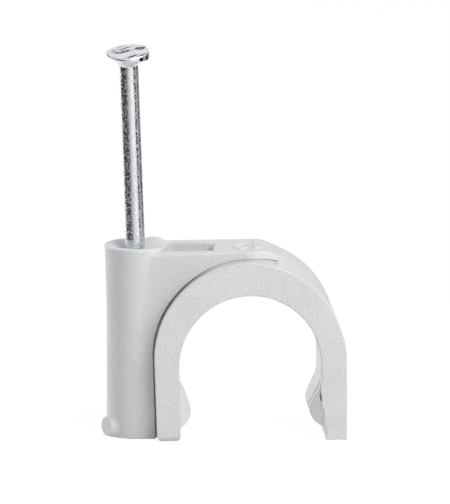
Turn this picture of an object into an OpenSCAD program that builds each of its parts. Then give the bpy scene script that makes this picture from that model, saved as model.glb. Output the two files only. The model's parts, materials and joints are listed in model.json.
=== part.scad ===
// Nail-in cable clip: a moulded clip that straddles a round cable, held by one nail.
// The origin is on the cable's axis, halfway along the seat. +Y runs along the cable,
// +Z points away from the wall and +X points from the nail to the free leg.

/* [Cable seat] */
// Diameter of the round cable seat
seat_d = 13; // [9:0.5:20]
// Length of the seat along the cable
seat_depth = 6.95; // [5.5:0.05:10]
// Height of the cable's axis above the wall
axis_h = 7; // [6:0.1:10]

/* [Front rim] */
// How far the rim stands in front of the web
rim_depth = 1.65; // [1:0.05:2]
// Thickness of the rim beside the cable
rim_side_t = 2.37; // [2:0.01:3]
// Thickness of the rim over the cable
rim_top_t = 3.17; // [2.9:0.01:3.6]
// Radius of the rim's outer curve over the free leg
rim_free_r = 9.5; // [9:0.05:10]
// Radius at the two bottom corners of the rim's nail-side leg
foot_r = 0.4; // [0.1:0.05:0.6]

/* [Legs] */
// Lean of the nail-side leg's outer face, in degrees
leg_outer_lean = 1.9; // [0:0.1:3]
// Lean of the nail-side leg's inner face, in degrees
leg_inner_lean = 1; // [0:0.1:2]
// Flare of the free leg's inner face, in degrees
leg_flare = 3.8; // [0:0.1:5]
// Thickness of the free leg behind the rim
leg_back_t = 1.7; // [1.2:0.05:2]

/* [Holding bumps] */
// Width of the mouth between the two bumps
mouth_w = 10.9; // [10:0.1:12]
// Radius of each bump's nose
bump_r = 1.6; // [1.3:0.05:1.8]
// Height of the noses above the wall
bump_h = 2.8; // [2.2:0.05:3.2]
// Height above the wall where the upper flanks leave the legs
bump_top_h = 5; // [4.6:0.05:6]
// Slope of the bumps' two ends, in degrees
bump_end_angle = 13; // [5:1:30]
// How far the bumps' ends lie inside the seat's two faces
bump_inset = 0.05; // [0.02:0.01:0.5]

/* [Web and crown] */
// Height of the web's flat top above the rim
web_rise = 0.8; // [0.4:0.05:1.2]
// Radius of the crown's outer curve
crown_r = 8.7; // [8.3:0.05:9.2]
// Depth over which the rim's edge rises into the crown
crown_blend = 2.8; // [2:0.1:3.5]
// Where the crown's blend starts, past the cable's axis
crown_start = 2.35; // [1.5:0.05:3]
// Turn of the blend's end wall, in degrees
crown_wall_turn = 14; // [0:1:20]
// Where the sloped facet starts on the web's front edge, before the cable's axis
facet_start = 0.4; // [0:0.05:1]
// Turn of the facet towards the free leg, in degrees
facet_turn = 22; // [15:1:28]
// Slope of the facet off the upright, in degrees
facet_slope = 26; // [20:1:32]

/* [Pocket] */
// Thickness of the pocket's front wall
pocket_front_t = 0.5; // [0.4:0.05:1.2]
// Thickness of the pocket's rear wall
pocket_rear_t = 1.05; // [0.6:0.05:1.4]
// Depth of the pocket below the web's top
pocket_depth = 4.5; // [2:0.1:5.5]
// Least material between the pocket and the seat
pocket_floor = 1.7; // [1.2:0.05:2.5]
// Distance from the cable's axis to the middle of the pocket's end wall
pad_reach = 3; // [2:0.05:4]
// Turn of the pocket's end wall, in degrees
pocket_end_turn = 10; // [0:1:15]

/* [Nail boss] */
// Distance from the seat's edge to the nail's axis
boss_reach = 3.73; // [3.2:0.01:5]
// Wall of the boss around the bore at the wall plane
boss_wall = 1.1; // [0.8:0.05:1.5]
// How much the boss widens towards its top, on the radius
boss_flare = 0.22; // [0:0.01:0.4]
// Height of the boss above the web's top
boss_rise = 0.23; // [0.1:0.01:0.5]
// Radius of the round edge at the boss's top
boss_edge_r = 0.45; // [0.2:0.05:0.55]
// Radius of the round shoulder where the boss meets the web's rear wall
shoulder_r = 0.75; // [0.5:0.05:1]
// Height of that shoulder above the boss's top
shoulder_rise = 0.16; // [0.05:0.01:0.3]
// Diameter of the countersink at the boss's top
sink_d = 4.2; // [3.8:0.05:4.5]
// Length of the collar that grips the nail
collar_l = 1.5; // [0.8:0.1:3]
// Play between the nail and the collar, on the radius
collar_play = 0.1; // [0.08:0.01:0.2]

/* [Gate stub] */
// Diameter of the stub at the foot of the boss
gate_d = 1.78; // [1:0.02:2.4]
// How far the stub stands out of the boss
gate_out = 0.5; // [0.2:0.05:1]
// Height of the stub above the wall
gate_lift = 0.08; // [0.05:0.01:0.5]
// Direction of the stub, turned from -X towards the front, in degrees
gate_turn = 26; // [0:1:60]
// Radius of the stub's edge
gate_edge_r = 0.15; // [0.05:0.05:0.3]

/* [Nail] */
// Diameter of the shank
nail_d = 1.8; // [1.4:0.05:2.2]
// Length from the top of the head to the point
nail_l = 35; // [25:0.5:45]
// How far the head's top stands above the boss
nail_out = 18.05; // [10:0.05:24]
// Lean of the nail towards -X in its play, in degrees
nail_lean = 2.1; // [0:0.1:2.5]
// Length of the four-sided point
point_l = 3; // [2:0.1:4.5]
// Diameter of the head
head_d = 4.05; // [3.4:0.05:5]
// Thickness of the head's rim
head_t = 0.5; // [0.3:0.05:0.8]
// Height of the cone under the head
head_cone_h = 0.75; // [0.5:0.05:1.4]
// Radius of the head's upper edge
head_edge_r = 0.18; // [0.05:0.01:0.25]
// Crooked set of the head towards -X, in degrees
head_tilt_side = 4; // [0:0.5:6]
// Crooked set of the head towards the front, in degrees
head_tilt_front = 6; // [0:0.5:8]

/* [Hidden] */

round_fn = 96;
blend_fn = 72;
blend_steps = 6;
// Extra reach of a cut past the face that it opens, and of a root into its carrier
past = 1;
// Thickness of one slice of the crown's blend
slice_t = 0.02;
// How far the blend's two ends lie under the rim's and the crown's curves
blend_sink = 0.03;

seat_r = seat_d / 2;
wall_z = -axis_h;
front_y = -seat_depth / 2;
back_y = seat_depth / 2;
web_front_y = front_y + rim_depth;
web_mid_y = (web_front_y + back_y) / 2;

rim_r = seat_r + rim_side_t;
rim_z = rim_top_t - rim_side_t;
rim_top_z = rim_z + rim_r;
rim_free_x = rim_r - rim_free_r;
rim_free_z = rim_top_z - sqrt(pow(rim_free_r, 2) - pow(rim_free_x, 2));
rim_outer_x = -rim_r + (rim_z - wall_z) * tan(leg_outer_lean);
rim_end_x = crown_start + (rim_depth + past) * tan(crown_wall_turn);
leg_inner_x = -seat_r + axis_h * tan(leg_inner_lean);

web_top_z = rim_top_z + web_rise;
leg_back_x = seat_r + leg_back_t;
crown_x = leg_back_x - crown_r;
crown_z = web_top_z - crown_r;

nail_r = nail_d / 2;
nail_x = -(seat_r + boss_reach);
boss_top_z = web_top_z + boss_rise;
sink_r = sink_d / 2;
collar_r = nail_r + collar_play;
sink_h = sink_r - collar_r;
collar_top_z = boss_top_z - sink_h;
collar_bottom_z = collar_top_z - collar_l;
pivot_z = (collar_top_z + collar_bottom_z) / 2;
bore_base_r = collar_r + (pivot_z - wall_z) * tan(nail_lean);
boss_base_r = bore_base_r + boss_wall;
boss_top_r = boss_base_r + boss_flare;

head_r = head_d / 2;
head_z = boss_top_z + nail_out - pivot_z;
neck_z = head_z - head_t - head_cone_h;
tip_z = head_z - nail_l;

function blend_share(i) = sin(90 * i / blend_steps);
function mix(a, b, share) = a + (b - a) * share;

// Places what is drawn about the Z axis on the nail's axis
module at_nail() {
    translate([nail_x, web_mid_y, 0]) children();
}

// Extrudes an outline drawn in X and Z from one Y to another
module along_cable(y_from, y_to) {
    translate([0, y_to, 0])
        rotate([90, 0, 0])
            linear_extrude(y_to - y_from) children();
}

// The free leg under a quarter arch, filled from one X to its outer face
module free_side(x, z, r, from_x, fn) {
    intersection() {
        union() {
            translate([x, z]) circle(r, $fn = fn);
            translate([x, wall_z]) square([r, z - wall_z]);
        }
        translate([from_x, wall_z]) square([x + r - from_x, z + r - wall_z]);
    }
}

// Rim outline over the nail-side leg, to just inside the crown's blend
module rim_outline() {
    intersection() {
        translate([0, rim_z]) circle(rim_r, $fn = round_fn);
        translate([-rim_r, rim_z]) square(rim_r);
    }
    polygon([[-rim_r, rim_z], [rim_outer_x, wall_z], [0, wall_z], [0, rim_z]]);
    intersection() {
        free_side(rim_free_x, rim_free_z, rim_free_r, 0, round_fn);
        translate([0, wall_z]) square([rim_end_x, rim_top_z - wall_z]);
    }
}

// The two bottom corners of the nail-side leg, taken off by rounding
module foot_corner(x, side) {
    translate([x, wall_z])
        difference() {
            translate([side < 0 ? -past : -foot_r, -past]) square([past + foot_r, past + foot_r]);
            translate([-side * foot_r, foot_r]) circle(foot_r, $fn = round_fn);
        }
}

module rim() {
    difference() {
        along_cable(front_y, web_front_y + past) rim_outline();
        along_cable(front_y - past, web_front_y) {
            foot_corner(rim_outer_x, -1);
            foot_corner(leg_inner_x, 1);
        }
    }
}

// Web outline: a flat top that runs over into the crown and down the free leg
module web_outline() {
    translate([nail_x, wall_z]) square([crown_x - nail_x, web_top_z - wall_z]);
    free_side(crown_x, crown_z, crown_r, crown_x, round_fn);
}

// Sloped facet on the web's front edge, beside the crown's blend
module facet_cut() {
    reach = rim_r;
    translate([-facet_start, web_front_y, web_top_z])
        rotate([0, 0, facet_turn])
            rotate([-facet_slope, 0, 0])
                translate([-reach, -reach, -reach]) cube([3 * reach, reach, 2 * reach]);
}

// Open pocket between the boss and the pad, cored out above the seat
module pocket_cut() {
    y_from = web_front_y + pocket_front_t;
    y_to = back_y - pocket_rear_t;
    end_shift = (y_to - y_from) / 2 * tan(pocket_end_turn);
    difference() {
        translate([0, 0, web_top_z - pocket_depth])
            linear_extrude(pocket_depth + past)
                polygon([
                    [nail_x, y_from],
                    [-pad_reach - end_shift, y_from],
                    [-pad_reach + end_shift, y_to],
                    [nail_x, y_to]
                ]);
        along_cable(front_y, back_y) circle(seat_r + pocket_floor, $fn = round_fn);
    }
}

// Slope from the rim's front edge up to the crown and down the free leg
module crown_slope() {
    hull()
        for (i = [0:blend_steps])
            let (
                share = blend_share(i),
                y = front_y + crown_blend * i / blend_steps,
                x = mix(rim_free_x, crown_x, share),
                z = mix(rim_free_z, crown_z, share),
                r = mix(rim_free_r, crown_r, share) - blend_sink,
                start_x = crown_start + (y - front_y) * tan(crown_wall_turn)
            )
            along_cable(y, y + slice_t) free_side(x, z, r, start_x, blend_fn);
}

// Room for the cable: the round seat and the gap between the legs
module cable_way() {
    along_cable(front_y - past, back_y + past) {
        circle(seat_r, $fn = round_fn);
        drop = axis_h + past;
        polygon([
            [-seat_r, 0],
            [-seat_r + drop * tan(leg_inner_lean), -drop],
            [seat_r + drop * tan(leg_flare), -drop],
            [seat_r, 0]
        ]);
    }
}

// One holding bump: a round nose with a straight upper flank that runs down from the leg
module bump(side) {
    nose = [mouth_w / 2 + bump_r, wall_z + bump_h];
    root_x = seat_r + leg_back_t / 2;
    top = [root_x - leg_back_t / 2, wall_z + bump_top_h];
    to_top = top - nose;
    flank_a = atan2(to_top.y, to_top.x) + acos(bump_r / norm(to_top));
    flank = nose + bump_r * [cos(flank_a), sin(flank_a)];
    end_y = back_y - bump_inset;
    end_run = tan(bump_end_angle);
    tip_x = mouth_w / 2;
    mirror([side < 0 ? 1 : 0, 0, 0])
        intersection() {
            along_cable(front_y, back_y)
                difference() {
                    union() {
                        translate(nose) circle(bump_r, $fn = round_fn);
                        polygon([flank, nose, [root_x, nose.y], [root_x, top.y], top]);
                    }
                    circle(seat_r, $fn = round_fn);
                    translate([root_x, 2 * wall_z]) square([2 * bump_r, 2 * axis_h]);
                }
            linear_extrude(4 * axis_h, center = true)
                polygon([
                    [root_x, end_y + (root_x - seat_r) * end_run],
                    [tip_x, end_y - (seat_r - tip_x) * end_run],
                    [tip_x, -end_y + (seat_r - tip_x) * end_run],
                    [root_x, -end_y - (root_x - seat_r) * end_run]
                ]);
        }
}

// Boss around the nail: its upper half widens in a curve to a round top edge
module boss() {
    edge_z = boss_top_z - boss_edge_r;
    edge_x = boss_top_r - boss_edge_r;
    flare_z = (wall_z + edge_z) / 2;
    flare_steps = 5;
    edge_steps = 8;
    rotate_extrude($fn = round_fn)
        polygon(concat(
            [[0, wall_z], [boss_base_r, wall_z]],
            [for (i = [0:flare_steps - 1])
                let (share = i / flare_steps)
                [boss_base_r + boss_flare * pow(share, 2), mix(flare_z, edge_z, share)]],
            [for (i = [0:edge_steps])
                let (a = 90 * i / edge_steps)
                [edge_x + boss_edge_r * cos(a), edge_z + boss_edge_r * sin(a)]],
            [[0, boss_top_z]]
        ));
}

// Round shoulder that joins the boss's top to the web's rear wall
module boss_shoulder() {
    side = (boss_top_r - shoulder_r / 2) * sqrt(0.5);
    translate([side, side, web_top_z - past])
        cylinder(h = past + boss_rise + shoulder_rise, r = shoulder_r, $fn = round_fn);
}

// Countersink, collar and the bore that widens towards the wall
module nail_bore() {
    rotate_extrude($fn = round_fn)
        polygon([
            [0, wall_z - past],
            [bore_base_r, wall_z - past],
            [bore_base_r, wall_z],
            [collar_r, collar_bottom_z],
            [collar_r, collar_top_z],
            [sink_r, boss_top_z],
            [sink_r, boss_top_z + past],
            [0, boss_top_z + past]
        ]);
}

// Short stub at the foot of the boss, where the moulding was cut from its gate
module gate_stub() {
    gate_r = gate_d / 2;
    root_l = bore_base_r + boss_wall / 2;
    end_l = boss_base_r + gate_out;
    translate([0, 0, wall_z + gate_lift + gate_r])
        rotate([0, 0, 180 + gate_turn])
            rotate([0, 90, 0])
                rotate_extrude($fn = round_fn)
                    polygon([
                        [0, root_l],
                        [gate_r, root_l],
                        [gate_r, end_l - gate_edge_r],
                        [gate_r - gate_edge_r, end_l],
                        [0, end_l]
                    ]);
}

module clip_body() {
    color([0.78, 0.785, 0.79])
        difference() {
            union() {
                difference() {
                    union() {
                        difference() {
                            along_cable(web_front_y, back_y) web_outline();
                            facet_cut();
                            pocket_cut();
                        }
                        rim();
                        crown_slope();
                    }
                    cable_way();
                }
                bump(-1);
                bump(1);
                at_nail() {
                    boss();
                    boss_shoulder();
                    gate_stub();
                }
            }
            at_nail() nail_bore();
        }
}

// Head on its cone, turned about its axis
module nail_head() {
    edge_z = head_t - head_edge_r;
    edge_x = head_r - head_edge_r;
    edge_steps = 6;
    rotate_extrude($fn = round_fn)
        polygon(concat(
            [[0, -head_cone_h - nail_r], [nail_r, -head_cone_h], [head_r, 0], [head_r, edge_z]],
            [for (i = [1:edge_steps])
                let (a = 90 * i / edge_steps)
                [edge_x + head_edge_r * cos(a), edge_z + head_edge_r * sin(a)]],
            [[0, head_t]]
        ));
}

// Four-sided point: the shank between two crossed wedges
module point_wedge() {
    rotate([90, 0, 0])
        linear_extrude(2 * nail_d, center = true)
            polygon([
                [0, tip_z],
                [nail_r, tip_z + point_l],
                [nail_r, neck_z],
                [-nail_r, neck_z],
                [-nail_r, tip_z + point_l]
            ]);
}

module nail() {
    color([0.66, 0.67, 0.69])
        at_nail()
            translate([0, 0, pivot_z])
                rotate([0, -nail_lean, 0]) {
                    intersection() {
                        translate([0, 0, tip_z])
                            cylinder(h = neck_z - tip_z, r = nail_r, $fn = round_fn);
                        point_wedge();
                        rotate([0, 0, 90]) point_wedge();
                    }
                    translate([0, 0, head_z - head_t])
                        rotate([head_tilt_front, -head_tilt_side, 0]) nail_head();
                }
}

clip_body();
nail();
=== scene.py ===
import json
import math

import bmesh
import bpy
import numpy as np
from mathutils import Matrix, Vector


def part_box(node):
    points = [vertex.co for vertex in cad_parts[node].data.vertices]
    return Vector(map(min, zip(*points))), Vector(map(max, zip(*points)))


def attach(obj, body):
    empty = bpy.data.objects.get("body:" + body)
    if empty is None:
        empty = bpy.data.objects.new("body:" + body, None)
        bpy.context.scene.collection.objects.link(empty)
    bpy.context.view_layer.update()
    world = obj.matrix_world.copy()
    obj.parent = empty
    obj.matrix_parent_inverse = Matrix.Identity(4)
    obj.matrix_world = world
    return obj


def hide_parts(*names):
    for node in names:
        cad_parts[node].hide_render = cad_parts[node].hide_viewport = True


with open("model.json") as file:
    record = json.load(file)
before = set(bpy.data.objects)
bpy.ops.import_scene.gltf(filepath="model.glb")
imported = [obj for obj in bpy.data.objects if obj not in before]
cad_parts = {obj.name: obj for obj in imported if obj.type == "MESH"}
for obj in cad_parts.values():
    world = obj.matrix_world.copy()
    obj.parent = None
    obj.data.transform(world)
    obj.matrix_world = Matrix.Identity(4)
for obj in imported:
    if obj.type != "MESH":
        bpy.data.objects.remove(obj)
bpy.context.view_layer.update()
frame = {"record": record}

MM = 0.001
SEED = 12

# Photograph: its size and where the foot of the nail boss lies in it
IMAGE_W = 450
IMAGE_H = 504
PX_PER_MM = 10.92
BOSS_FOOT_PX = (136.0, 433.0)
VIEW_AZIMUTH = -4.1
VIEW_ELEVATION = 12.0

# Cable seat, read from the frame
mounts = {m["name"]: m for m in frame["record"]["mounts"]}
SEAT_R = mounts["cable_seat"]["dims"]["r_mm"]
SEAT_DEPTH = mounts["cable_seat"]["dims"]["length_mm"]
WALL_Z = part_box("clip_body")[0].z / MM
FRONT_Y = -SEAT_DEPTH / 2
BACK_Y = SEAT_DEPTH / 2

# Front rim, in millimetres as all sizes of the object here
RIM_DEPTH = 1.65
RIM_SIDE_T = 2.37
RIM_TOP_T = 3.17
RIM_FREE_R = 9.5
FOOT_R = 0.6
WEB_FRONT_Y = FRONT_Y + RIM_DEPTH
WEB_MID_Y = (WEB_FRONT_Y + BACK_Y) / 2
RIM_R = SEAT_R + RIM_SIDE_T
RIM_Z = RIM_TOP_T - RIM_SIDE_T
RIM_TOP_Z = RIM_Z + RIM_R
RIM_FREE_X = RIM_R - RIM_FREE_R
RIM_FREE_Z = RIM_TOP_Z - math.sqrt(RIM_FREE_R ** 2 - RIM_FREE_X ** 2)

# Legs: slopes of their faces, and the step in the free leg's inner face
LEG_OUTER_SLOPE = math.tan(math.radians(1.9))
LEG_INNER_SLOPE = math.tan(math.radians(1.0))
LEG_FLARE = 0.3
LEG_FLARE_DROP = (3.4, 4.4)
LEG_FLARE_SLOPE = math.tan(math.radians(2.6))
LEG_BACK_T = 1.7

# Holding bumps; the lip and the groove lie at distances from the sloped ends
MOUTH_W = 10.9
BUMP_R = 1.6
BUMP_H = 2.8
BUMP_TOP_H = 5.3
BUMP_END_SLOPE = math.tan(math.radians(28.0))
BUMP_ROOT_SLOPE = 2.0
BUMP_INSET = 0.05
BUMP_FILLET_R = 0.2
BUMP_LIP = (0.7, 0.8)
BUMP_GROOVE = (1.35, 1.45)
BUMP_GROOVE_D = 0.2

# Slit between the free leg and its bump: its ends in x and z, and its size
SLIT_TOP = (6.38, -2.5)
SLIT_FOOT = (6.5, -3.5)
SLIT_HALF_W = 0.08
SLIT_D = 0.45

# Web, and the crown that grows out of the rim behind a slanted line
WEB_RISE = 0.8
WEB_LEAD_L = 3.0
WEB_BULGE = 0.6
WEB_BULGE_X = (-10.2, -4.5)
CROWN_R = 8.7
CROWN_BLEND = 6.0
CROWN_START = 2.35
CROWN_WALL_SLOPE = math.tan(math.radians(8.5))
WEB_TOP_Z = RIM_TOP_Z + WEB_RISE
LEG_BACK_X = SEAT_R + LEG_BACK_T
CROWN_X = LEG_BACK_X - CROWN_R
CROWN_Z = WEB_TOP_Z - CROWN_R

# Ledge of the rim in front of the crown, and the sloped facet above it
LEDGE_SHARE = 0.5
LEDGE_X = (-0.6, 2.4)
LEDGE_DEPTH = 1.4
LEDGE_BLEND_W = 0.35
LEDGE_BLEND_DEPTH = (0.1, 0.6)
FACET_START = 0.14
FACET_TURN = math.radians(22.0)
FACET_SLOPE = math.radians(14.0)
FACET_EDGE_R = 0.2

# Pocket, and the pad that ends it
POCKET_FRONT_T = 0.5
POCKET_REAR_T = 1.05
POCKET_DEPTH = 4.5
POCKET_FLOOR = 1.7
POCKET_CORNER_R = 0.12
POCKET_DRAFT = math.tan(math.radians(10.0))
PAD_REACH = 3.27
PAD_END_CURVE = 0.0125
PAD_EDGE_R = 0.25
PAD_EDGE_L = 1.5
PAD_SLOPE = math.radians(25.0)
PAD_CORNER_W = 0.2
PAD_FOOT_X = CROWN_X + CROWN_R * math.sin(PAD_SLOPE)
PAD_FOOT_Z = CROWN_Z + CROWN_R * math.cos(PAD_SLOPE)

# Nail boss, with a low shoulder at its back, and its bore
BOSS_REACH = 3.73
BOSS_WALL = 1.1
BOSS_FLARE = 0.22
BOSS_RISE = 0.23
BOSS_EDGE_R = 0.2
BOSS_BLEND_W = 0.9
BOSS_BLEND_DEPTH = (0.2, 1.2)
SHOULDER_R = 0.75
SHOULDER_RISE = 0.16
SHOULDER_BLEND_W = 0.5
SINK_R = 2.1
COLLAR_L = 1.5
COLLAR_R = 1.0
NAIL_LEAN = math.radians(2.1)
NAIL_X = -(SEAT_R + BOSS_REACH)
BOSS_TOP_Z = WEB_TOP_Z + BOSS_RISE
BOSS_FLARE_Z = (WALL_Z + BOSS_TOP_Z) / 2
COLLAR_TOP_Z = BOSS_TOP_Z - (SINK_R - COLLAR_R)
COLLAR_BOTTOM_Z = COLLAR_TOP_Z - COLLAR_L
PIVOT_Z = (COLLAR_TOP_Z + COLLAR_BOTTOM_Z) / 2
BORE_BASE_R = COLLAR_R + (PIVOT_Z - WALL_Z) * math.tan(NAIL_LEAN)
BOSS_BASE_R = BORE_BASE_R + BOSS_WALL
WEB_LEAD = BOSS_BASE_R - (BACK_Y - WEB_FRONT_Y) / 2

# Gate stub at the foot of the boss
GATE_R = 0.89
GATE_OUT = 0.5
GATE_LIFT = 0.08
GATE_TURN = math.radians(26.0)
GATE_FILLET_R = 0.4

# Edges of the moulding; a pair holds the value at the nail side and the one at the crown
EDGE_R = 0.12
FINE_EDGE_R = 0.06
WEB_EDGE_R = (0.55, 0.2)
WEB_EDGE_X = (-8.6, -3.4)
CREVICE_D = (0.9, 0.09)
CREVICE_W = (0.01, 0.1)
CREVICE_X = (-7.4, -3.0)
CREVICE_UNDERCUT = math.tan(math.radians(6.5))
CREVICE_FACET_X = WEB_RISE * math.tan(FACET_SLOPE) / math.sin(FACET_TURN) - FACET_START
LEAST_BLEND_W = 1e-6

# Plain size number on the pad, read from the back
DIGIT_H = 2.3
DIGIT_MID_Y = 0.2
DIGIT_X = {"1": 0.72, "2": -0.74}
DIGIT_REACH = 1.0
DIGIT_STEM_U = 0.12
DIGIT_FLAG_U = -0.36
DIGIT_FLAG_DROP = 0.4
DIGIT_BOW_R = 0.5
DIGIT_BOW_TURN = (170, -35)
DIGIT_BOW_POINTS = 14
STROKE_W = 0.21
STROKE_H = 0.18

# Nail, with heights on its own axis from the pivot in the collar
NAIL_R = 0.9
NAIL_L = 35.0
NAIL_OUT = 18.05
POINT_L = 3.0
POINT_TIP_SHARE = 0.02
HEAD_R = 2.025
HEAD_T = 0.33
HEAD_CONE_H = 1.0
HEAD_CONE_POWER = 1.35
HEAD_EDGE_R = HEAD_T * 0.38
HEAD_BASE_Z = BOSS_TOP_Z + NAIL_OUT - HEAD_T - HEAD_CONE_H
NAIL_TOP = BOSS_TOP_Z + NAIL_OUT - PIVOT_Z
NAIL_TIP = NAIL_TOP - NAIL_L
NAIL_CONE = NAIL_TOP - HEAD_T
NAIL_NECK = NAIL_CONE - HEAD_CONE_H

# Unevenness of the nail: how far its head is skewed, its lobes, and how rough the drawn shank is
HEAD_CONE_DROP = 0.2
HEAD_TOP_RISE = 0.28
HEAD_BACK_RISE = 0.25
HEAD_LOBES = 9
HEAD_LOBE_SHARE = 0.035
DRAWN_CELLS = (150, 26)
DRAWN_FINE_CELLS = (300, 44)
DRAWN_FINE_SHARE = 0.7
DRAWN_H = 0.0016
NOISE_SPARE_ROWS = 3

# Marks on the head's top: where they begin, dents by depth, place and radius, and the waves
MARKS_START = HEAD_T * 0.4
HEAD_DENTS = [(0.06, -0.8, -0.45, 0.4), (0.04, -0.2, 0.0, 0.25), (0.035, 1.25, 0.2, 0.25)]
WAVE_LENGTHS = (2.4, 0.5)
WAVE_COUNT = 14
WAVE_H = 0.0025
WAVE_POWER = 0.8

# Rings of the nail's mesh
NAIL_SEGMENTS = 96
SHANK_RING_STEP = 0.12
POINT_RINGS = 40
CONE_RINGS = 16
SIDE_RINGS = 6
EDGE_RINGS = 8
TOP_RINGS = 34

# Grid that the moulding's surface is drawn on, and the limits of its mesh
GRID_STEP = 0.065
DIGIT_STEP = 0.04
GRID_MARGIN = 0.3
GRID_LAYERS = 16
FACE_LIMIT = 185000
MERGE_GAP = 0.0005
SLOPE_STEP = 0.004
LEAST_SLOPE_SQUARED = 0.05
LEAST_NORMAL = 1e-9
GRID_SETTLE_ROUNDS = 4
LAST_SETTLE_ROUNDS = 2


# Distance fields: negative inside, in millimetres

def between(first, last, share):
    return first + (last - first) * share


def ease(low, high, value):
    """Share of the way from low to high, with a soft start and end."""
    share = np.clip((value - low) / (high - low), 0, 1)
    return share * share * (3 - 2 * share)


def round_cut(a, b, r):
    """What a and b share, with the edge between them rounded."""
    u = np.maximum(a + r, 0)
    v = np.maximum(b + r, 0)
    return np.minimum(np.maximum(a, b), -r) + np.hypot(u, v)


def round_join(a, b, r):
    """a and b together, with a fillet in the corner between them."""
    return -round_cut(-a, -b, r)


def soft_join(a, b, width):
    """a and b together, blended where they come close."""
    near = np.maximum(width - np.abs(a - b), 0) / width
    return np.minimum(a, b) - near * near * width / 4


def arch(x, z, centre_x, centre_z, r):
    """Outer side of a quarter arch with a flat top and a straight leg on +X."""
    return np.hypot(np.maximum(x - centre_x, 0), np.maximum(z - centre_z, 0)) - r


def cable_way(x, z):
    """Round seat, and the gap between the legs below it."""
    drop = np.maximum(-z, 0)
    left = -SEAT_R + drop * LEG_INNER_SLOPE - x
    flare = LEG_FLARE * ease(*LEG_FLARE_DROP, drop)
    flare = flare + np.maximum(drop - LEG_FLARE_DROP[1], 0) * LEG_FLARE_SLOPE
    right = x - SEAT_R - flare
    return np.where(z > 0, np.hypot(x, z) - SEAT_R, np.maximum(left, right))


def crown_arch(x, y, z, amount):
    """Outer side of the free leg's arch, which grows from the rim's to the crown's towards the back."""
    share = amount * np.sin(np.clip((y - FRONT_Y) / CROWN_BLEND, 0, 1) * math.pi / 2)
    centre_x = between(RIM_FREE_X, CROWN_X, share)
    centre_z = between(RIM_FREE_Z, CROWN_Z, share)
    return arch(x, z, centre_x, centre_z, between(RIM_FREE_R, CROWN_R, share))


def crown_wall(x, y):
    """Distance past the line where the crown begins."""
    return x - CROWN_START - (y - FRONT_Y) * CROWN_WALL_SLOPE


def crown(x, y, z):
    """Slope from the rim's front edge up to the crown and down the free leg."""
    outer = round_cut(crown_arch(x, y, z, 1.0), FRONT_Y - y, EDGE_R)
    return round_cut(outer, -crown_wall(x, y), EDGE_R)


def rim_outline(x, y, z):
    """Outer side of the rim, seen from the front."""
    drop = np.maximum(RIM_Z - z, 0)
    leg = -x - RIM_R + drop * LEG_OUTER_SLOPE
    round_side = np.hypot(np.minimum(x, 0), np.maximum(z - RIM_Z, 0)) - RIM_R
    nail_side = np.where(z > RIM_Z, round_side, leg)
    return np.maximum(nail_side, crown_arch(x, y, z, LEDGE_SHARE * ease(*LEDGE_X, x)))


def undercut(x, y):
    """How far the rim's outer side steps in behind its front edge, along the nail-side leg."""
    return CREVICE_UNDERCUT * (1 - ease(*CREVICE_X, x)) * np.maximum(y - FRONT_Y, 0)


def rim(x, y, z, way, outline):
    """Horseshoe in front of the web, with a rounded foot on the nail side."""
    depth = np.maximum(y - WEB_FRONT_Y - LEDGE_DEPTH, crown_wall(x, y) - EDGE_R)
    ring = np.maximum(round_cut(outline + undercut(x, y), FRONT_Y - y, EDGE_R), depth)
    ring = round_cut(ring, -way, EDGE_R)
    return np.where(x < 0, round_cut(ring, WALL_Z - z, FOOT_R), ring)


def web_lead(x):
    """How far the web's faces stand out beside the boss, to lie flush with it."""
    return WEB_LEAD * (1 - ease(NAIL_X, NAIL_X + WEB_LEAD_L, x))


def web_front(x):
    """Where the web's front face lies: flush with the boss, and fuller towards the crown."""
    return WEB_FRONT_Y - web_lead(x) - WEB_BULGE * ease(*WEB_BULGE_X, x)


def web_top(x, z):
    """Upper side of the web: a flat pad, and a short slope from it down to the crown's arch."""
    slope = (x - PAD_FOOT_X) * math.sin(PAD_SLOPE) + (z - PAD_FOOT_Z) * math.cos(PAD_SLOPE)
    pad = -soft_join(WEB_TOP_Z - z, -slope, PAD_CORNER_W)
    return np.where(x < PAD_FOOT_X, pad, arch(x, z, CROWN_X, CROWN_Z, CROWN_R))


def facet(x, y, z):
    """Outer side of the sloped facet beside the crown."""
    front = y - WEB_FRONT_Y + WEB_BULGE
    across = math.sin(FACET_TURN) * (x + FACET_START) - math.cos(FACET_TURN) * front
    return math.cos(FACET_SLOPE) * across + math.sin(FACET_SLOPE) * (z - WEB_TOP_Z)


def web(x, y, z):
    """Upright plate between the nail boss and the free leg."""
    edge_r = between(*WEB_EDGE_R, ease(*WEB_EDGE_X, x))
    plate = round_cut(web_top(x, z), web_front(x) - y, edge_r)
    plate = round_cut(plate, y - BACK_Y - web_lead(x), EDGE_R)
    plate = np.maximum(np.maximum(plate, NAIL_X - x), crown_wall(x, y) - EDGE_R)
    return round_cut(plate, facet(x, y, z), FACET_EDGE_R)


def crevice(x, y, outline):
    """Narrow groove in the web's front along the rim's outer side."""
    share = ease(*CREVICE_X, x)
    width = between(*CREVICE_W, share)
    depth = between(*CREVICE_D, share)
    depth = depth + np.maximum(x - CREVICE_FACET_X, 0) * math.tan(FACET_TURN)
    groove = np.maximum(outline - width, y - web_front(x) - depth)
    return np.maximum(np.maximum(groove, -outline - undercut(x, y)), crown_wall(x, y))


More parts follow.
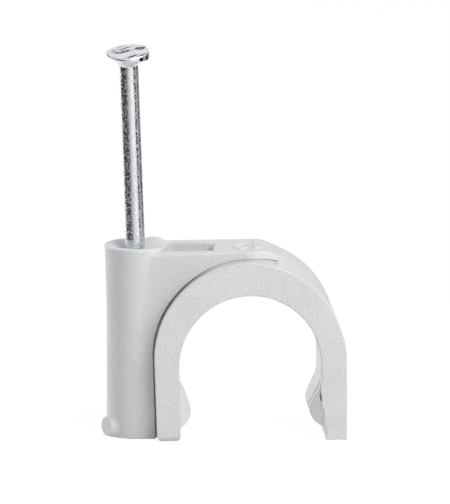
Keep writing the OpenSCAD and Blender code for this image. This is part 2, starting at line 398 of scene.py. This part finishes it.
def pocket(x, y, z):
    """Open hollow in the web's top, between the boss and the pad."""
    half_w = (SEAT_DEPTH - RIM_DEPTH - POCKET_FRONT_T - POCKET_REAR_T) / 2
    mid_y = WEB_FRONT_Y + POCKET_FRONT_T + half_w
    end = x + PAD_REACH - PAD_END_CURVE * np.abs(y - mid_y + half_w) ** 3
    draft = np.maximum(WEB_TOP_Z - z, 0) * POCKET_DRAFT
    side = np.maximum(y - mid_y - half_w + draft, mid_y - half_w - y)
    floor = np.maximum(WEB_TOP_Z - POCKET_DEPTH - z, SEAT_R + POCKET_FLOOR - np.hypot(x, z))
    plan = np.maximum(round_cut(end, side, POCKET_CORNER_R), NAIL_X - x)
    return round_cut(plan, floor, POCKET_CORNER_R)


def bump(x, y, z, way):
    """Holding bump on each leg: a round nose under a straight flank, with sloped ends and a front lip."""
    out = np.abs(x)
    nose_x = MOUTH_W / 2 + BUMP_R
    nose_z = WALL_Z + BUMP_H
    top_z = WALL_Z + BUMP_TOP_H
    reach = math.hypot(SEAT_R - nose_x, top_z - nose_z)
    turn = math.atan2(top_z - nose_z, SEAT_R - nose_x) + math.acos(BUMP_R / reach)
    nose = np.hypot(out - nose_x, z - nose_z) - BUMP_R
    flank = (out - nose_x) * math.cos(turn) + (z - nose_z) * math.sin(turn) - BUMP_R
    under_flank = np.maximum(flank, nose_z + BUMP_R * math.sin(turn) - z)
    behind = np.maximum(under_flank, z - top_z)
    profile = np.minimum(nose, np.maximum(behind, SEAT_R - LEG_BACK_T - out))
    recess = np.maximum(-way, 0) * BUMP_END_SLOPE + np.maximum(way, 0) * BUMP_ROOT_SLOPE
    slope = BUMP_INSET - BACK_Y + recess
    front = (slope - y) / math.hypot(1, BUMP_END_SLOPE)
    back = (slope + y) / math.hypot(1, BUMP_END_SLOPE)
    groove = BUMP_GROOVE_D * (ease(*BUMP_LIP, -front) - ease(*BUMP_GROOVE, -front))
    body = round_cut(profile + groove, np.maximum(front, back), FINE_EDGE_R)
    return np.maximum(body, out - SEAT_R - LEG_BACK_T / 2)


def bump_slit(x, y, z):
    """Narrow gap between the free leg and the front end of its bump."""
    share = np.clip((SLIT_TOP[1] - z) / (SLIT_TOP[1] - SLIT_FOOT[1]), 0, 1)
    middle = between(SLIT_TOP[0], SLIT_FOOT[0], share)
    width = SLIT_HALF_W * np.sin(math.pi * share)
    return np.maximum(np.abs(x - middle) - width, y - FRONT_Y - SLIT_D)


def boss_flare(z):
    """How much wider the boss is than at its foot."""
    return BOSS_FLARE * np.clip((z - BOSS_FLARE_Z) / (BOSS_TOP_Z - BOSS_FLARE_Z), 0, 1) ** 2


def boss(x, y, z):
    """Round post for the nail, with its shoulder."""
    side = np.hypot(x - NAIL_X, y - WEB_MID_Y) - BOSS_BASE_R - boss_flare(z)
    post = round_cut(side, z - BOSS_TOP_Z, BOSS_EDGE_R)
    place = (BOSS_BASE_R + BOSS_FLARE - SHOULDER_R / 2) * math.sqrt(0.5)
    lump = np.hypot(x - NAIL_X - place, y - WEB_MID_Y - place) - SHOULDER_R
    lump = round_cut(lump, z - BOSS_TOP_Z - SHOULDER_RISE, SHOULDER_R / 2)
    lump = np.maximum(lump, WEB_TOP_Z - SHOULDER_R - z)
    return soft_join(post, lump, SHOULDER_BLEND_W)


def boss_blend(y, z):
    """Width of the blend between boss and web: none on the web's flush faces, wide within the pocket."""
    within = np.minimum(y - WEB_FRONT_Y, BACK_Y - y)
    return np.maximum(boss_flare(z), BOSS_BLEND_W * ease(*BOSS_BLEND_DEPTH, within)) + LEAST_BLEND_W


def nail_bore(x, y, z):
    """Countersink, collar and the cone below it, in which the nail can lean."""
    rho = np.hypot(x - NAIL_X, y - WEB_MID_Y)
    sink = (rho - COLLAR_R - np.maximum(z - COLLAR_TOP_Z, 0)) * math.sqrt(0.5)
    cone_slope = (BORE_BASE_R - COLLAR_R) / (COLLAR_BOTTOM_Z - WALL_Z)
    lower = rho - COLLAR_R - np.maximum(COLLAR_BOTTOM_Z - z, 0) * cone_slope
    return np.where(z > COLLAR_TOP_Z, sink, lower)


def gate_stub(x, y, z):
    """Short round stub that points out of the boss."""
    along = -(x - NAIL_X) * math.cos(GATE_TURN) - (y - WEB_MID_Y) * math.sin(GATE_TURN)
    across = (x - NAIL_X) * math.sin(GATE_TURN) - (y - WEB_MID_Y) * math.cos(GATE_TURN)
    side = np.hypot(across, z - WALL_Z - GATE_LIFT - GATE_R) - GATE_R
    stub = round_cut(side, along - BOSS_BASE_R - GATE_OUT, EDGE_R)
    return np.maximum(stub, BORE_BASE_R + BOSS_WALL / 2 - along)


def clip_body(x, y, z):
    """The whole moulding."""
    way = cable_way(x, z)
    outline = rim_outline(x, y, z)
    plate = np.maximum(web(x, y, z), -crevice(x, y, outline))
    free_side = round_cut(crown(x, y, z), y - BACK_Y, EDGE_R)
    plate = np.minimum(plate, free_side)
    pocket_edge_r = between(EDGE_R, PAD_EDGE_R, ease(-PAD_REACH - PAD_EDGE_L, -PAD_REACH, x))
    plate = round_cut(plate, -pocket(x, y, z), pocket_edge_r)
    plate = soft_join(plate, boss(x, y, z), boss_blend(y, z))
    ledge_blend = LEDGE_BLEND_W * ease(*LEDGE_BLEND_DEPTH, y - FRONT_Y) + LEAST_BLEND_W
    body = np.minimum(plate, soft_join(rim(x, y, z, way, outline), free_side, ledge_blend))
    body = round_cut(body, -way, EDGE_R)
    body = round_join(body, bump(x, y, z, way), BUMP_FILLET_R)
    body = np.maximum(body, -bump_slit(x, y, z))
    body = round_join(body, gate_stub(x, y, z), GATE_FILLET_R)
    body = round_cut(body, -nail_bore(x, y, z), EDGE_R)
    return round_cut(body, WALL_Z - z, FINE_EDGE_R)


def digit_strokes():
    """Lines of the two digits, as pairs of ends on the pad."""
    half_h = DIGIT_H / 2
    bow_v = half_h - DIGIT_BOW_R
    bow = [
        (DIGIT_BOW_R * math.cos(a), bow_v + DIGIT_BOW_R * math.sin(a))
        for a in np.radians(np.linspace(*DIGIT_BOW_TURN, DIGIT_BOW_POINTS))
    ]
    paths = {
        "1": [(DIGIT_FLAG_U, half_h - DIGIT_FLAG_DROP), (DIGIT_STEM_U, half_h), (DIGIT_STEM_U, -half_h)],
        "2": bow + [(-DIGIT_BOW_R, -half_h), (DIGIT_BOW_R, -half_h)],
    }
    strokes = []
    for digit, path in paths.items():
        turned = [(DIGIT_X[digit] - u, DIGIT_MID_Y - v) for u, v in path]
        strokes += list(zip(turned[:-1], turned[1:]))
    return strokes


def size_digits(x, y, z):
    """Digits as low rounded ridges on the pad."""
    nearest = np.inf
    for (x0, y0), (x1, y1) in digit_strokes():
        length2 = (x1 - x0) ** 2 + (y1 - y0) ** 2
        share = np.clip(((x - x0) * (x1 - x0) + (y - y0) * (y1 - y0)) / length2, 0, 1)
        nearest = np.minimum(nearest, np.hypot(x - x0 - share * (x1 - x0), y - y0 - share * (y1 - y0)))
    ridge = z - WEB_TOP_Z - STROKE_H * (1 - (nearest / STROKE_W) ** 2)
    return np.maximum(ridge / math.hypot(1, STROKE_H / STROKE_W), WEB_TOP_Z - STROKE_H / 2 - z)


# Meshes from distance fields

def field_slope(field, points):
    """Gradient of a distance field at each point."""
    slope = np.empty_like(points)
    for axis in range(3):
        shift = np.zeros(3)
        shift[axis] = SLOPE_STEP
        ahead = field(*(points + shift).T)
        behind = field(*(points - shift).T)
        slope[:, axis] = (ahead - behind) / (2 * SLOPE_STEP)
    return slope


def settle(field, points, step, rounds):
    """Moves points onto the field's surface, by no more than a step in each round."""
    for _ in range(rounds):
        slope = field_slope(field, points)
        size = np.maximum(np.sum(slope * slope, axis=1), LEAST_SLOPE_SQUARED)
        move = np.clip(field(*points.T) / size, -step, step)
        points = points - slope * move[:, None]
    return points


def crossing_points(values, low, step):
    """One point per grid cell that the surface passes through, and each cell's index."""
    inside = values < 0
    sizes = np.array(values.shape) - 1
    corners = [(i, j, k) for i in (0, 1) for j in (0, 1) for k in (0, 1)]
    block = [tuple(slice(c, c + n) for c, n in zip(corner, sizes)) for corner in corners]
    count = sum(inside[b].astype(np.int8) for b in block)
    cells = np.argwhere((count > 0) & (count < len(corners)))
    total = np.zeros((len(cells), 3))
    hits = np.zeros(len(cells))
    for first in corners:
        for axis in range(3):
            if first[axis]:
                continue
            step_axis = np.eye(3, dtype=int)[axis]
            a = values[tuple((cells + first).T)]
            b = values[tuple((cells + first + step_axis).T)]
            crossed = (a < 0) != (b < 0)
            share = np.where(crossed, a / np.where(crossed, a - b, 1), 0)
            total += np.where(crossed[:, None], np.array(first) + share[:, None] * step_axis, 0)
            hits += crossed
    index = np.full(sizes, -1)
    index[tuple(cells.T)] = np.arange(len(cells))
    return low + (cells + total / hits[:, None]) * step, index


def net_faces(values, index):
    """Quads that join the cells around each grid edge that the surface crosses."""
    inside = values < 0
    faces = []
    for axis in range(3):
        u = (axis + 1) % 3
        v = (axis + 2) % 3
        low = [slice(None)] * 3
        high = [slice(None)] * 3
        low[axis] = slice(0, -1)
        high[axis] = slice(1, None)
        first = inside[tuple(low)]
        second = inside[tuple(high)]
        edges = np.argwhere(first != second)
        leaving = first[tuple(edges.T)]
        ring = []
        for du, dv in ((1, 1), (0, 1), (0, 0), (1, 0)):
            shift = np.zeros(3, dtype=int)
            shift[u] = du
            shift[v] = dv
            ring.append(index[tuple((edges - shift).T)])
        quads = np.stack(ring, axis=1)
        quads[~leaving] = quads[~leaving][:, ::-1]
        faces.append(quads)
    return np.concatenate(faces)


def mesh_object(name, points, faces):
    """Object with a smooth mesh, from points in millimetres; points in one place become one."""
    mesh = bpy.data.meshes.new(name)
    mesh.from_pydata((points * MM).tolist(), [], faces.tolist())
    merged = bmesh.new()
    merged.from_mesh(mesh)
    bmesh.ops.remove_doubles(merged, verts=merged.verts, dist=MERGE_GAP * MM)
    merged.to_mesh(mesh)
    merged.free()
    mesh.validate()
    mesh.polygons.foreach_set("use_smooth", [True] * len(mesh.polygons))
    piece = bpy.data.objects.new(name, mesh)
    bpy.context.scene.collection.objects.link(piece)
    return piece


def thin_out(piece):
    """Merges faces where the surface is flat, down to about the limit in triangles."""
    count = sum(len(p.vertices) - 2 for p in piece.data.polygons)
    if count <= FACE_LIMIT:
        return
    modifier = piece.modifiers.new("thin_out", "DECIMATE")
    modifier.ratio = FACE_LIMIT / count
    thinned = piece.evaluated_get(bpy.context.evaluated_depsgraph_get())
    full = piece.data
    piece.data = bpy.data.meshes.new_from_object(thinned)
    piece.modifiers.clear()
    bpy.data.meshes.remove(full)


def mesh_points(mesh):
    flat = np.empty(len(mesh.vertices) * 3)
    mesh.vertices.foreach_get("co", flat)
    return flat.reshape(-1, 3) / MM


def field_object(name, field, low, high, step):
    """Closed mesh of a field's surface, with the field's own normals."""
    axes = [np.arange(a - GRID_MARGIN, b + GRID_MARGIN + step, step) for a, b in zip(low, high)]
    x, y, z = np.meshgrid(*axes, indexing="ij", sparse=True)
    layers = [field(x[i:i + GRID_LAYERS], y, z) for i in range(0, len(x), GRID_LAYERS)]
    values = np.concatenate(layers)
    origin = np.array([a[0] for a in axes])
    points, index = crossing_points(values, origin, step)
    points = settle(field, points, step, GRID_SETTLE_ROUNDS)
    piece = mesh_object(name, points, net_faces(values, index))
    thin_out(piece)
    mesh = piece.data
    points = settle(field, mesh_points(mesh), step / 2, LAST_SETTLE_ROUNDS)
    mesh.vertices.foreach_set("co", (points * MM).ravel())
    normals = field_slope(field, points)
    normals /= np.maximum(np.linalg.norm(normals, axis=1, keepdims=True), LEAST_NORMAL)
    mesh.normals_split_custom_set_from_vertices(normals.tolist())
    return piece


# Nail, as rings around its own axis

def smooth_noise(shape, cells, rng):
    """Noise on a grid, cyclic along its second axis, from -1 to 1."""
    knots = rng.uniform(-1, 1, (cells[0] + NOISE_SPARE_ROWS, cells[1]))
    rows = np.linspace(0, cells[0], shape[0])
    columns = np.linspace(0, cells[1], shape[1], endpoint=False)
    r0 = rows.astype(int)
    c0 = columns.astype(int)
    rt = ease(0, 1, rows - r0)[:, None]
    ct = ease(0, 1, columns - c0)[None, :]
    c1 = (c0 + 1) % cells[1]
    upper = knots[r0][:, c0] * (1 - ct) + knots[r0][:, c1] * ct
    lower = knots[r0 + 1][:, c0] * (1 - ct) + knots[r0 + 1][:, c1] * ct
    return upper * (1 - rt) + lower * rt


def hammer_marks(x, y, rng):
    """Uneven face of the head: a few dents, and waves in many directions."""
    marks = np.zeros_like(x)
    for depth, dent_x, dent_y, dent_r in HEAD_DENTS:
        marks = marks - depth * np.exp(-((x - dent_x) ** 2 + (y - dent_y) ** 2) / (2 * dent_r ** 2))
    for length in np.geomspace(*WAVE_LENGTHS, WAVE_COUNT):
        way = rng.uniform(0, 2 * math.pi)
        start = rng.uniform(0, 2 * math.pi)
        along = x * math.cos(way) + y * math.sin(way)
        marks = marks + WAVE_H * length ** WAVE_POWER * np.sin(2 * math.pi * along / length + start)
    return marks


def nail_profile():
    """Height along the nail's axis and radius of each ring, from the tip to the middle of the head."""
    shank_foot = NAIL_TIP + POINT_L
    shank_rings = int((NAIL_NECK - NAIL_TIP - POINT_L) / SHANK_RING_STEP)
    point = [(NAIL_TIP + POINT_L * t, NAIL_R * t) for t in np.linspace(POINT_TIP_SHARE, 1, POINT_RINGS)]
    shank = [(z, NAIL_R) for z in np.linspace(shank_foot, NAIL_NECK, shank_rings)[1:]]
    cone = [
        (NAIL_NECK + HEAD_CONE_H * t, between(NAIL_R, HEAD_R, t ** HEAD_CONE_POWER))
        for t in np.linspace(0, 1, CONE_RINGS)[1:]
    ]
    side = [(NAIL_CONE + (HEAD_T - HEAD_EDGE_R) * t, HEAD_R) for t in np.linspace(0, 1, SIDE_RINGS)[1:]]
    edge = [
        (NAIL_TOP - HEAD_EDGE_R * (1 - math.sin(a)), HEAD_R - HEAD_EDGE_R * (1 - math.cos(a)))
        for a in np.linspace(0, math.pi / 2, EDGE_RINGS)[1:]
    ]
    top = [(NAIL_TOP, (HEAD_R - HEAD_EDGE_R) * (1 - t)) for t in np.linspace(0, 1, TOP_RINGS)[1:]]
    return np.array([(NAIL_TIP, 0.0)] + point + shank + cone + side + edge + top)


def nail_points():
    """Points of the nail's rings: a square point, a drawn shank and an uneven, skewed head."""
    rng = np.random.default_rng(SEED)
    profile = nail_profile()
    height = np.repeat(profile[:, :1], NAIL_SEGMENTS, axis=1)
    radius = np.repeat(profile[:, 1:], NAIL_SEGMENTS, axis=1)
    turn = np.linspace(0, 2 * math.pi, NAIL_SEGMENTS, endpoint=False)[None, :]
    square = 1 / np.maximum(np.abs(np.cos(turn)), np.abs(np.sin(turn)))
    in_point = height < NAIL_TIP + POINT_L
    radius = np.where(in_point, np.minimum(radius * square, NAIL_R), radius)
    on_head = ease(NAIL_NECK, NAIL_CONE, height)
    on_shank = ease(NAIL_TIP, NAIL_TIP + POINT_L, height) * (1 - on_head)
    drawn = smooth_noise(radius.shape, DRAWN_CELLS, rng)
    drawn = drawn + DRAWN_FINE_SHARE * smooth_noise(radius.shape, DRAWN_FINE_CELLS, rng)
    radius = radius + DRAWN_H * drawn * on_shank
    lobes = smooth_noise((1, NAIL_SEGMENTS), (1, HEAD_LOBES), rng)
    radius = radius * (1 + HEAD_LOBE_SHARE * lobes * on_head)
    x = radius * np.cos(turn)
    y = radius * np.sin(turn)
    on_top = ease(NAIL_CONE + MARKS_START, NAIL_TOP, height)
    on_rim = ease(NAIL_CONE, NAIL_TOP, height)
    skew = HEAD_BACK_RISE * y + (HEAD_TOP_RISE * on_rim - HEAD_CONE_DROP) * x
    height = height + on_head * skew / HEAD_R + on_top * hammer_marks(x, y, rng)
    points = np.stack([x, y, height], axis=-1).reshape(-1, 3)
    lean = np.array(Matrix.Rotation(-NAIL_LEAN, 3, "Y"))
    return points @ lean.T + np.array([NAIL_X, WEB_MID_Y, PIVOT_Z])


def nail_object():
    points = nail_points()
    first = np.arange(len(points) - NAIL_SEGMENTS).reshape(-1, NAIL_SEGMENTS)
    second = np.roll(first, -1, axis=1)
    quads = np.stack([first, second, second + NAIL_SEGMENTS, first + NAIL_SEGMENTS], axis=-1)
    return mesh_object("steel_nail", points, quads.reshape(-1, 4))


# Materials: scales of the noises per metre, and ramps as places with colours

def grey(level):
    return (level, level, level)


NOISE_DETAIL = 3.0

GRAIN_SCALE = 10500
GRAIN_TONES = [(0.32, (0.565, 0.572, 0.586)), (0.68, (0.709, 0.717, 0.732))]
GRAIN_ROUGHNESS = [(0.3, grey(0.48)), (0.7, grey(0.62))]
GRAIN_H = 0.012
GRAIN_BUMP = 0.5
CLOUD_SCALE = 240
CLOUD_TONES = [(0.3, grey(0.94)), (0.7, grey(1.0))]
PLASTIC_SPECULAR = 0.35

DRAWN_SCALE = 6500
DRAWN_STRETCH = (1.0, 1.0, 0.12)
DRAWN_BUMP_H = 0.008
PIT_SCALE = 4600
PIT_H = 0.024
PIT_TONES = [(0.30, (0.52, 0.53, 0.55)), (0.42, (0.74, 0.76, 0.79)), (0.70, (0.84, 0.86, 0.90))]
PIT_ROUGHNESS = [(0.44, grey(0.5)), (0.52, grey(0.12))]

# How far below the head the shank's look begins, and the look of the head
HEAD_FADE = 0.3
HEAD_MOTTLE = 0.15
HEAD_CALM = 0.58
HEAD_TONE = (0.66, 0.68, 0.71, 1.0)


def new_material(name):
    material = bpy.data.materials.new(name)
    material.use_nodes = True
    nodes = material.node_tree.nodes
    return material, nodes, material.node_tree.links, nodes["Principled BSDF"]


def noise(nodes, links, coordinates, scale):
    node = nodes.new("ShaderNodeTexNoise")
    node.inputs["Scale"].default_value = scale
    node.inputs["Detail"].default_value = NOISE_DETAIL
    links.new(coordinates, node.inputs["Vector"])
    return node.outputs["Fac"]


def ramp(nodes, links, value, stops):
    node = nodes.new("ShaderNodeValToRGB")
    elements = node.color_ramp.elements
    while len(elements) < len(stops):
        elements.new(0.5)
    for element, (place, colour) in zip(elements, stops):
        element.position = place
        element.color = (*colour, 1.0)
    links.new(value, node.inputs["Fac"])
    return node.outputs["Color"]


def multiplied(nodes, links, a, b):
    node = nodes.new("ShaderNodeMix")
    node.data_type = "RGBA"
    node.blend_type = "MULTIPLY"
    node.inputs["Factor"].default_value = 1.0
    links.new(a, node.inputs["A"])
    links.new(b, node.inputs["B"])
    return node.outputs["Result"]


def larger(nodes, links, a, b):
    node = nodes.new("ShaderNodeMath")
    node.operation = "MAXIMUM"
    links.new(a, node.inputs[0])
    links.new(b, node.inputs[1])
    return node.outputs["Value"]


def bump_node(nodes, links, height, depth):
    """Bump of the given depth in millimetres."""
    node = nodes.new("ShaderNodeBump")
    node.inputs["Distance"].default_value = depth * MM
    node.inputs["Strength"].default_value = 1.0
    links.new(height, node.inputs["Height"])
    return node


def plastic_material():
    """Matte plastic with a fine grain and a slow drift of tone."""
    material, nodes, links, shader = new_material("clip_plastic_grained")
    place = nodes.new("ShaderNodeTexCoord").outputs["Object"]
    grain = noise(nodes, links, place, GRAIN_SCALE)
    cloud = noise(nodes, links, place, CLOUD_SCALE)
    speckled = ramp(nodes, links, grain, GRAIN_TONES)
    drift = ramp(nodes, links, cloud, CLOUD_TONES)
    links.new(multiplied(nodes, links, speckled, drift), shader.inputs["Base Color"])
    links.new(ramp(nodes, links, grain, GRAIN_ROUGHNESS), shader.inputs["Roughness"])
    shader.inputs["Specular IOR Level"].default_value = PLASTIC_SPECULAR
    grained = bump_node(nodes, links, grain, GRAIN_H)
    grained.inputs["Strength"].default_value = GRAIN_BUMP
    links.new(grained.outputs["Normal"], shader.inputs["Normal"])
    return material


def steel_material():
    """Zinc on drawn wire, pitted on the shank and smoother on the head."""
    material, nodes, links, shader = new_material("nail_steel_zinc")
    place = nodes.new("ShaderNodeTexCoord").outputs["Object"]
    stretch = nodes.new("ShaderNodeMapping")
    stretch.inputs["Scale"].default_value = DRAWN_STRETCH
    links.new(place, stretch.inputs["Vector"])
    drawn = noise(nodes, links, stretch.outputs["Vector"], DRAWN_SCALE)
    height = nodes.new("ShaderNodeSeparateXYZ")
    links.new(place, height.inputs["Vector"])
    shank = nodes.new("ShaderNodeMapRange")
    shank.inputs["From Min"].default_value = HEAD_BASE_Z * MM
    shank.inputs["From Max"].default_value = (HEAD_BASE_Z - HEAD_FADE) * MM
    shank.inputs["To Min"].default_value = HEAD_MOTTLE
    links.new(height.outputs["Z"], shank.inputs["Value"])
    on_shank = shank.outputs["Result"]
    calm = nodes.new("ShaderNodeMix")
    calm.inputs["A"].default_value = HEAD_CALM
    links.new(on_shank, calm.inputs["Factor"])
    links.new(noise(nodes, links, place, PIT_SCALE), calm.inputs["B"])
    mottle = calm.outputs["Result"]
    tone = nodes.new("ShaderNodeMix")
    tone.data_type = "RGBA"
    tone.inputs["A"].default_value = HEAD_TONE
    links.new(on_shank, tone.inputs["Factor"])
    links.new(ramp(nodes, links, mottle, PIT_TONES), tone.inputs["B"])
    links.new(tone.outputs["Result"], shader.inputs["Base Color"])
    links.new(ramp(nodes, links, mottle, PIT_ROUGHNESS), shader.inputs["Roughness"])
    shader.inputs["Metallic"].default_value = 1.0
    fine = bump_node(nodes, links, drawn, DRAWN_BUMP_H)
    links.new(on_shank, fine.inputs["Strength"])
    pitted = bump_node(nodes, links, mottle, PIT_H)
    links.new(fine.outputs["Normal"], pitted.inputs["Normal"])
    links.new(pitted.outputs["Normal"], shader.inputs["Normal"])
    return material


# Stage: floor, cards, lamps, background and camera

FLOOR_HALF = 900.0
FLOOR_TONE = 0.86
FLOOR_WHITE = 1.04
FLOOR_WHITE_SHARE = 0.9

# Cards around the nail: name, first and last azimuth, level
CARD_DISTANCE = 46.0
CARD_STEPS = 24
CARD_HEIGHTS = (WALL_Z, 50)
NAIL_CARDS = [
    ("card_dark_left", (-121, -36), 0.06),
    ("card_dusk", (-36, -23), 0.24),
    ("card_grey", (-23, -6), 0.58),
    ("card_light", (-6, 11), 0.85),
    ("card_white", (11, 50), 1.1),
    ("card_dark_line", (50, 74), 0.01),
    ("card_grey_right", (74, 99), 0.46),
    ("card_dark_right", (99, 125), 0.01),
    ("card_light_right", (125, 150), 0.55),
]

# Card that the head's top reflects
ABOVE_AZIMUTHS = (140, 220)
ABOVE_HEIGHTS = (56, 66)
ABOVE_LEVEL = 0.08

# Lamps: name, azimuth, elevation, width and height, level
LAMP_DISTANCE = 260
LAMP_TARGET = (0, 0, 5)
LAMPS = [
    ("key", 40, 46, (220, 220), 0.99),
    ("fill", 100, 25, (160, 160), 0.1),
    ("edge", -128, 12, (120, 200), 0.72),
]
AMBIENT = 0.31

CAMERA_DISTANCE = 320
CAMERA_CLIP = (10, 3000)


def floor_material():
    """Pale and matte; the camera and reflections see most of it as plain white."""
    material, nodes, links, shader = new_material("floor_white")
    shader.inputs["Base Color"].default_value = (*grey(FLOOR_TONE), 1.0)
    shader.inputs["Roughness"].default_value = 1.0
    shader.inputs["Specular IOR Level"].default_value = 0.0
    path = nodes.new("ShaderNodeLightPath")
    seen = larger(nodes, links, path.outputs["Is Camera Ray"], path.outputs["Is Glossy Ray"])
    share = nodes.new("ShaderNodeMath")
    share.operation = "MULTIPLY"
    share.inputs[1].default_value = FLOOR_WHITE_SHARE
    links.new(seen, share.inputs[0])
    white = nodes.new("ShaderNodeEmission")
    white.inputs["Strength"].default_value = FLOOR_WHITE
    mixed = nodes.new("ShaderNodeMixShader")
    links.new(share.outputs["Value"], mixed.inputs["Fac"])
    links.new(shader.outputs["BSDF"], mixed.inputs[1])
    links.new(white.outputs["Emission"], mixed.inputs[2])
    links.new(mixed.outputs["Shader"], nodes["Material Output"].inputs["Surface"])
    return material


def card_material(name, level):
    material, nodes, links, shader = new_material(name)
    tone = nodes.new("ShaderNodeEmission")
    tone.inputs["Strength"].default_value = level
    links.new(tone.outputs["Emission"], nodes["Material Output"].inputs["Surface"])
    nodes.remove(shader)
    return material


def stage_object(name, points, faces, material):
    piece = mesh_object(name, np.array(points, float), np.array(faces))
    piece.data.materials.append(material)
    return piece


def make_floor():
    corners = [(FLOOR_HALF * i, FLOOR_HALF * j, WALL_Z) for i, j in ((-1, -1), (1, -1), (1, 1), (-1, 1))]
    stage_object("floor", corners, [(0, 1, 2, 3)], floor_material())


def make_card(name, azimuths, heights, level):
    """Upright curved card that only reflections see; azimuth 0 is in front and grows towards +X."""
    points = []
    for a in np.radians(np.linspace(*azimuths, CARD_STEPS + 1)):
        x = NAIL_X + CARD_DISTANCE * math.sin(a)
        y = WEB_MID_Y - CARD_DISTANCE * math.cos(a)
        points += [(x, y, z) for z in heights]
    faces = [(2 * i, 2 * i + 2, 2 * i + 3, 2 * i + 1) for i in range(CARD_STEPS)]
    card = stage_object(name, points, faces, card_material(name + "_tone", level))
    card.visible_camera = False
    card.visible_diffuse = False
    card.visible_shadow = False


def direction(azimuth, elevation):
    """Unit vector towards a place around the object, from angles in degrees."""
    a = math.radians(azimuth)
    e = math.radians(elevation)
    return Vector((math.sin(a) * math.cos(e), -math.cos(a) * math.cos(e), math.sin(e)))


def place_aimed(name, data, place, target):
    """Adds a lamp or camera at a place in millimetres, facing the target."""
    obj = bpy.data.objects.new(name, data)
    bpy.context.scene.collection.objects.link(obj)
    obj.location = Vector(place) * MM
    obj.rotation_mode = "QUATERNION"
    obj.rotation_quaternion = (Vector(target) - Vector(place)).to_track_quat("-Z", "Y")
    return obj


def make_lamp(name, azimuth, elevation, size, level):
    """Soft square lamp; a white surface that faces it reads as its level."""
    data = bpy.data.lights.new(name, "AREA")
    data.shape = "RECTANGLE"
    data.size = size[0] * MM
    data.size_y = size[1] * MM
    data.energy = level * (math.pi * LAMP_DISTANCE * MM) ** 2
    place_aimed(name, data, direction(azimuth, elevation) * LAMP_DISTANCE, LAMP_TARGET)


def make_world():
    """White to the camera and to reflections, and a plain grey light to the rest."""
    world = bpy.data.worlds.new("studio")
    world.use_nodes = True
    bpy.context.scene.world = world
    nodes = world.node_tree.nodes
    links = world.node_tree.links
    path = nodes.new("ShaderNodeLightPath")
    seen = larger(nodes, links, path.outputs["Is Camera Ray"], path.outputs["Is Glossy Ray"])
    every = larger(nodes, links, seen, path.outputs["Is Transmission Ray"])
    strength = nodes.new("ShaderNodeMapRange")
    strength.inputs["To Min"].default_value = AMBIENT
    strength.inputs["To Max"].default_value = 1.0
    links.new(every, strength.inputs["Value"])
    background = nodes["Background"]
    background.inputs["Color"].default_value = (*grey(1.0), 1.0)
    links.new(strength.outputs["Result"], background.inputs["Strength"])


def make_camera():
    """Camera of the photograph's view, with the foot of the boss at its place in the picture."""
    a = math.radians(VIEW_AZIMUTH)
    e = math.radians(VIEW_ELEVATION)
    right = Vector((math.cos(a), math.sin(a), 0))
    up = Vector((-math.sin(a) * math.sin(e), math.cos(a) * math.sin(e), math.cos(e)))
    boss_foot = Vector((NAIL_X, WEB_MID_Y, WALL_Z))
    across = (IMAGE_W / 2 - BOSS_FOOT_PX[0]) / PX_PER_MM
    rise = (BOSS_FOOT_PX[1] - IMAGE_H / 2) / PX_PER_MM
    target = boss_foot + right * across + up * rise
    data = bpy.data.cameras.new("camera")
    data.type = "ORTHO"
    data.sensor_fit = "VERTICAL"
    data.ortho_scale = IMAGE_H / PX_PER_MM * MM
    data.clip_start = CAMERA_CLIP[0] * MM
    data.clip_end = CAMERA_CLIP[1] * MM
    place = target + direction(VIEW_AZIMUTH, VIEW_ELEVATION) * CAMERA_DISTANCE
    bpy.context.scene.camera = place_aimed("camera", data, place, target)


# The object

body_low, body_high = (np.array(corner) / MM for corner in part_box("clip_body"))
plastic = plastic_material()
body_piece = field_object("moulded_clip", clip_body, body_low, body_high, GRID_STEP)
body_piece.data.materials.append(plastic)
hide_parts("clip_body")
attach(body_piece, "root")

digits_low = (
    min(DIGIT_X.values()) - DIGIT_REACH,
    DIGIT_MID_Y - DIGIT_H / 2 - STROKE_W,
    WEB_TOP_Z,
)
digits_high = (
    max(DIGIT_X.values()) + DIGIT_REACH,
    DIGIT_MID_Y + DIGIT_H / 2 + STROKE_W,
    WEB_TOP_Z + STROKE_H,
)
digits_piece = field_object("size_digits", size_digits, digits_low, digits_high, DIGIT_STEP)
digits_piece.data.materials.append(plastic)
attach(digits_piece, "root")

nail_piece = nail_object()
nail_piece.data.materials.append(steel_material())
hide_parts("nail")
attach(nail_piece, "root")

# The stage

make_floor()
for card_name, card_azimuths, card_level in NAIL_CARDS:
    make_card(card_name, card_azimuths, CARD_HEIGHTS, card_level)
make_card("card_above", ABOVE_AZIMUTHS, ABOVE_HEIGHTS, ABOVE_LEVEL)
for lamp in LAMPS:
    make_lamp(*lamp)
make_world()
make_camera()
bpy.context.scene.view_settings.view_transform = "Standard"
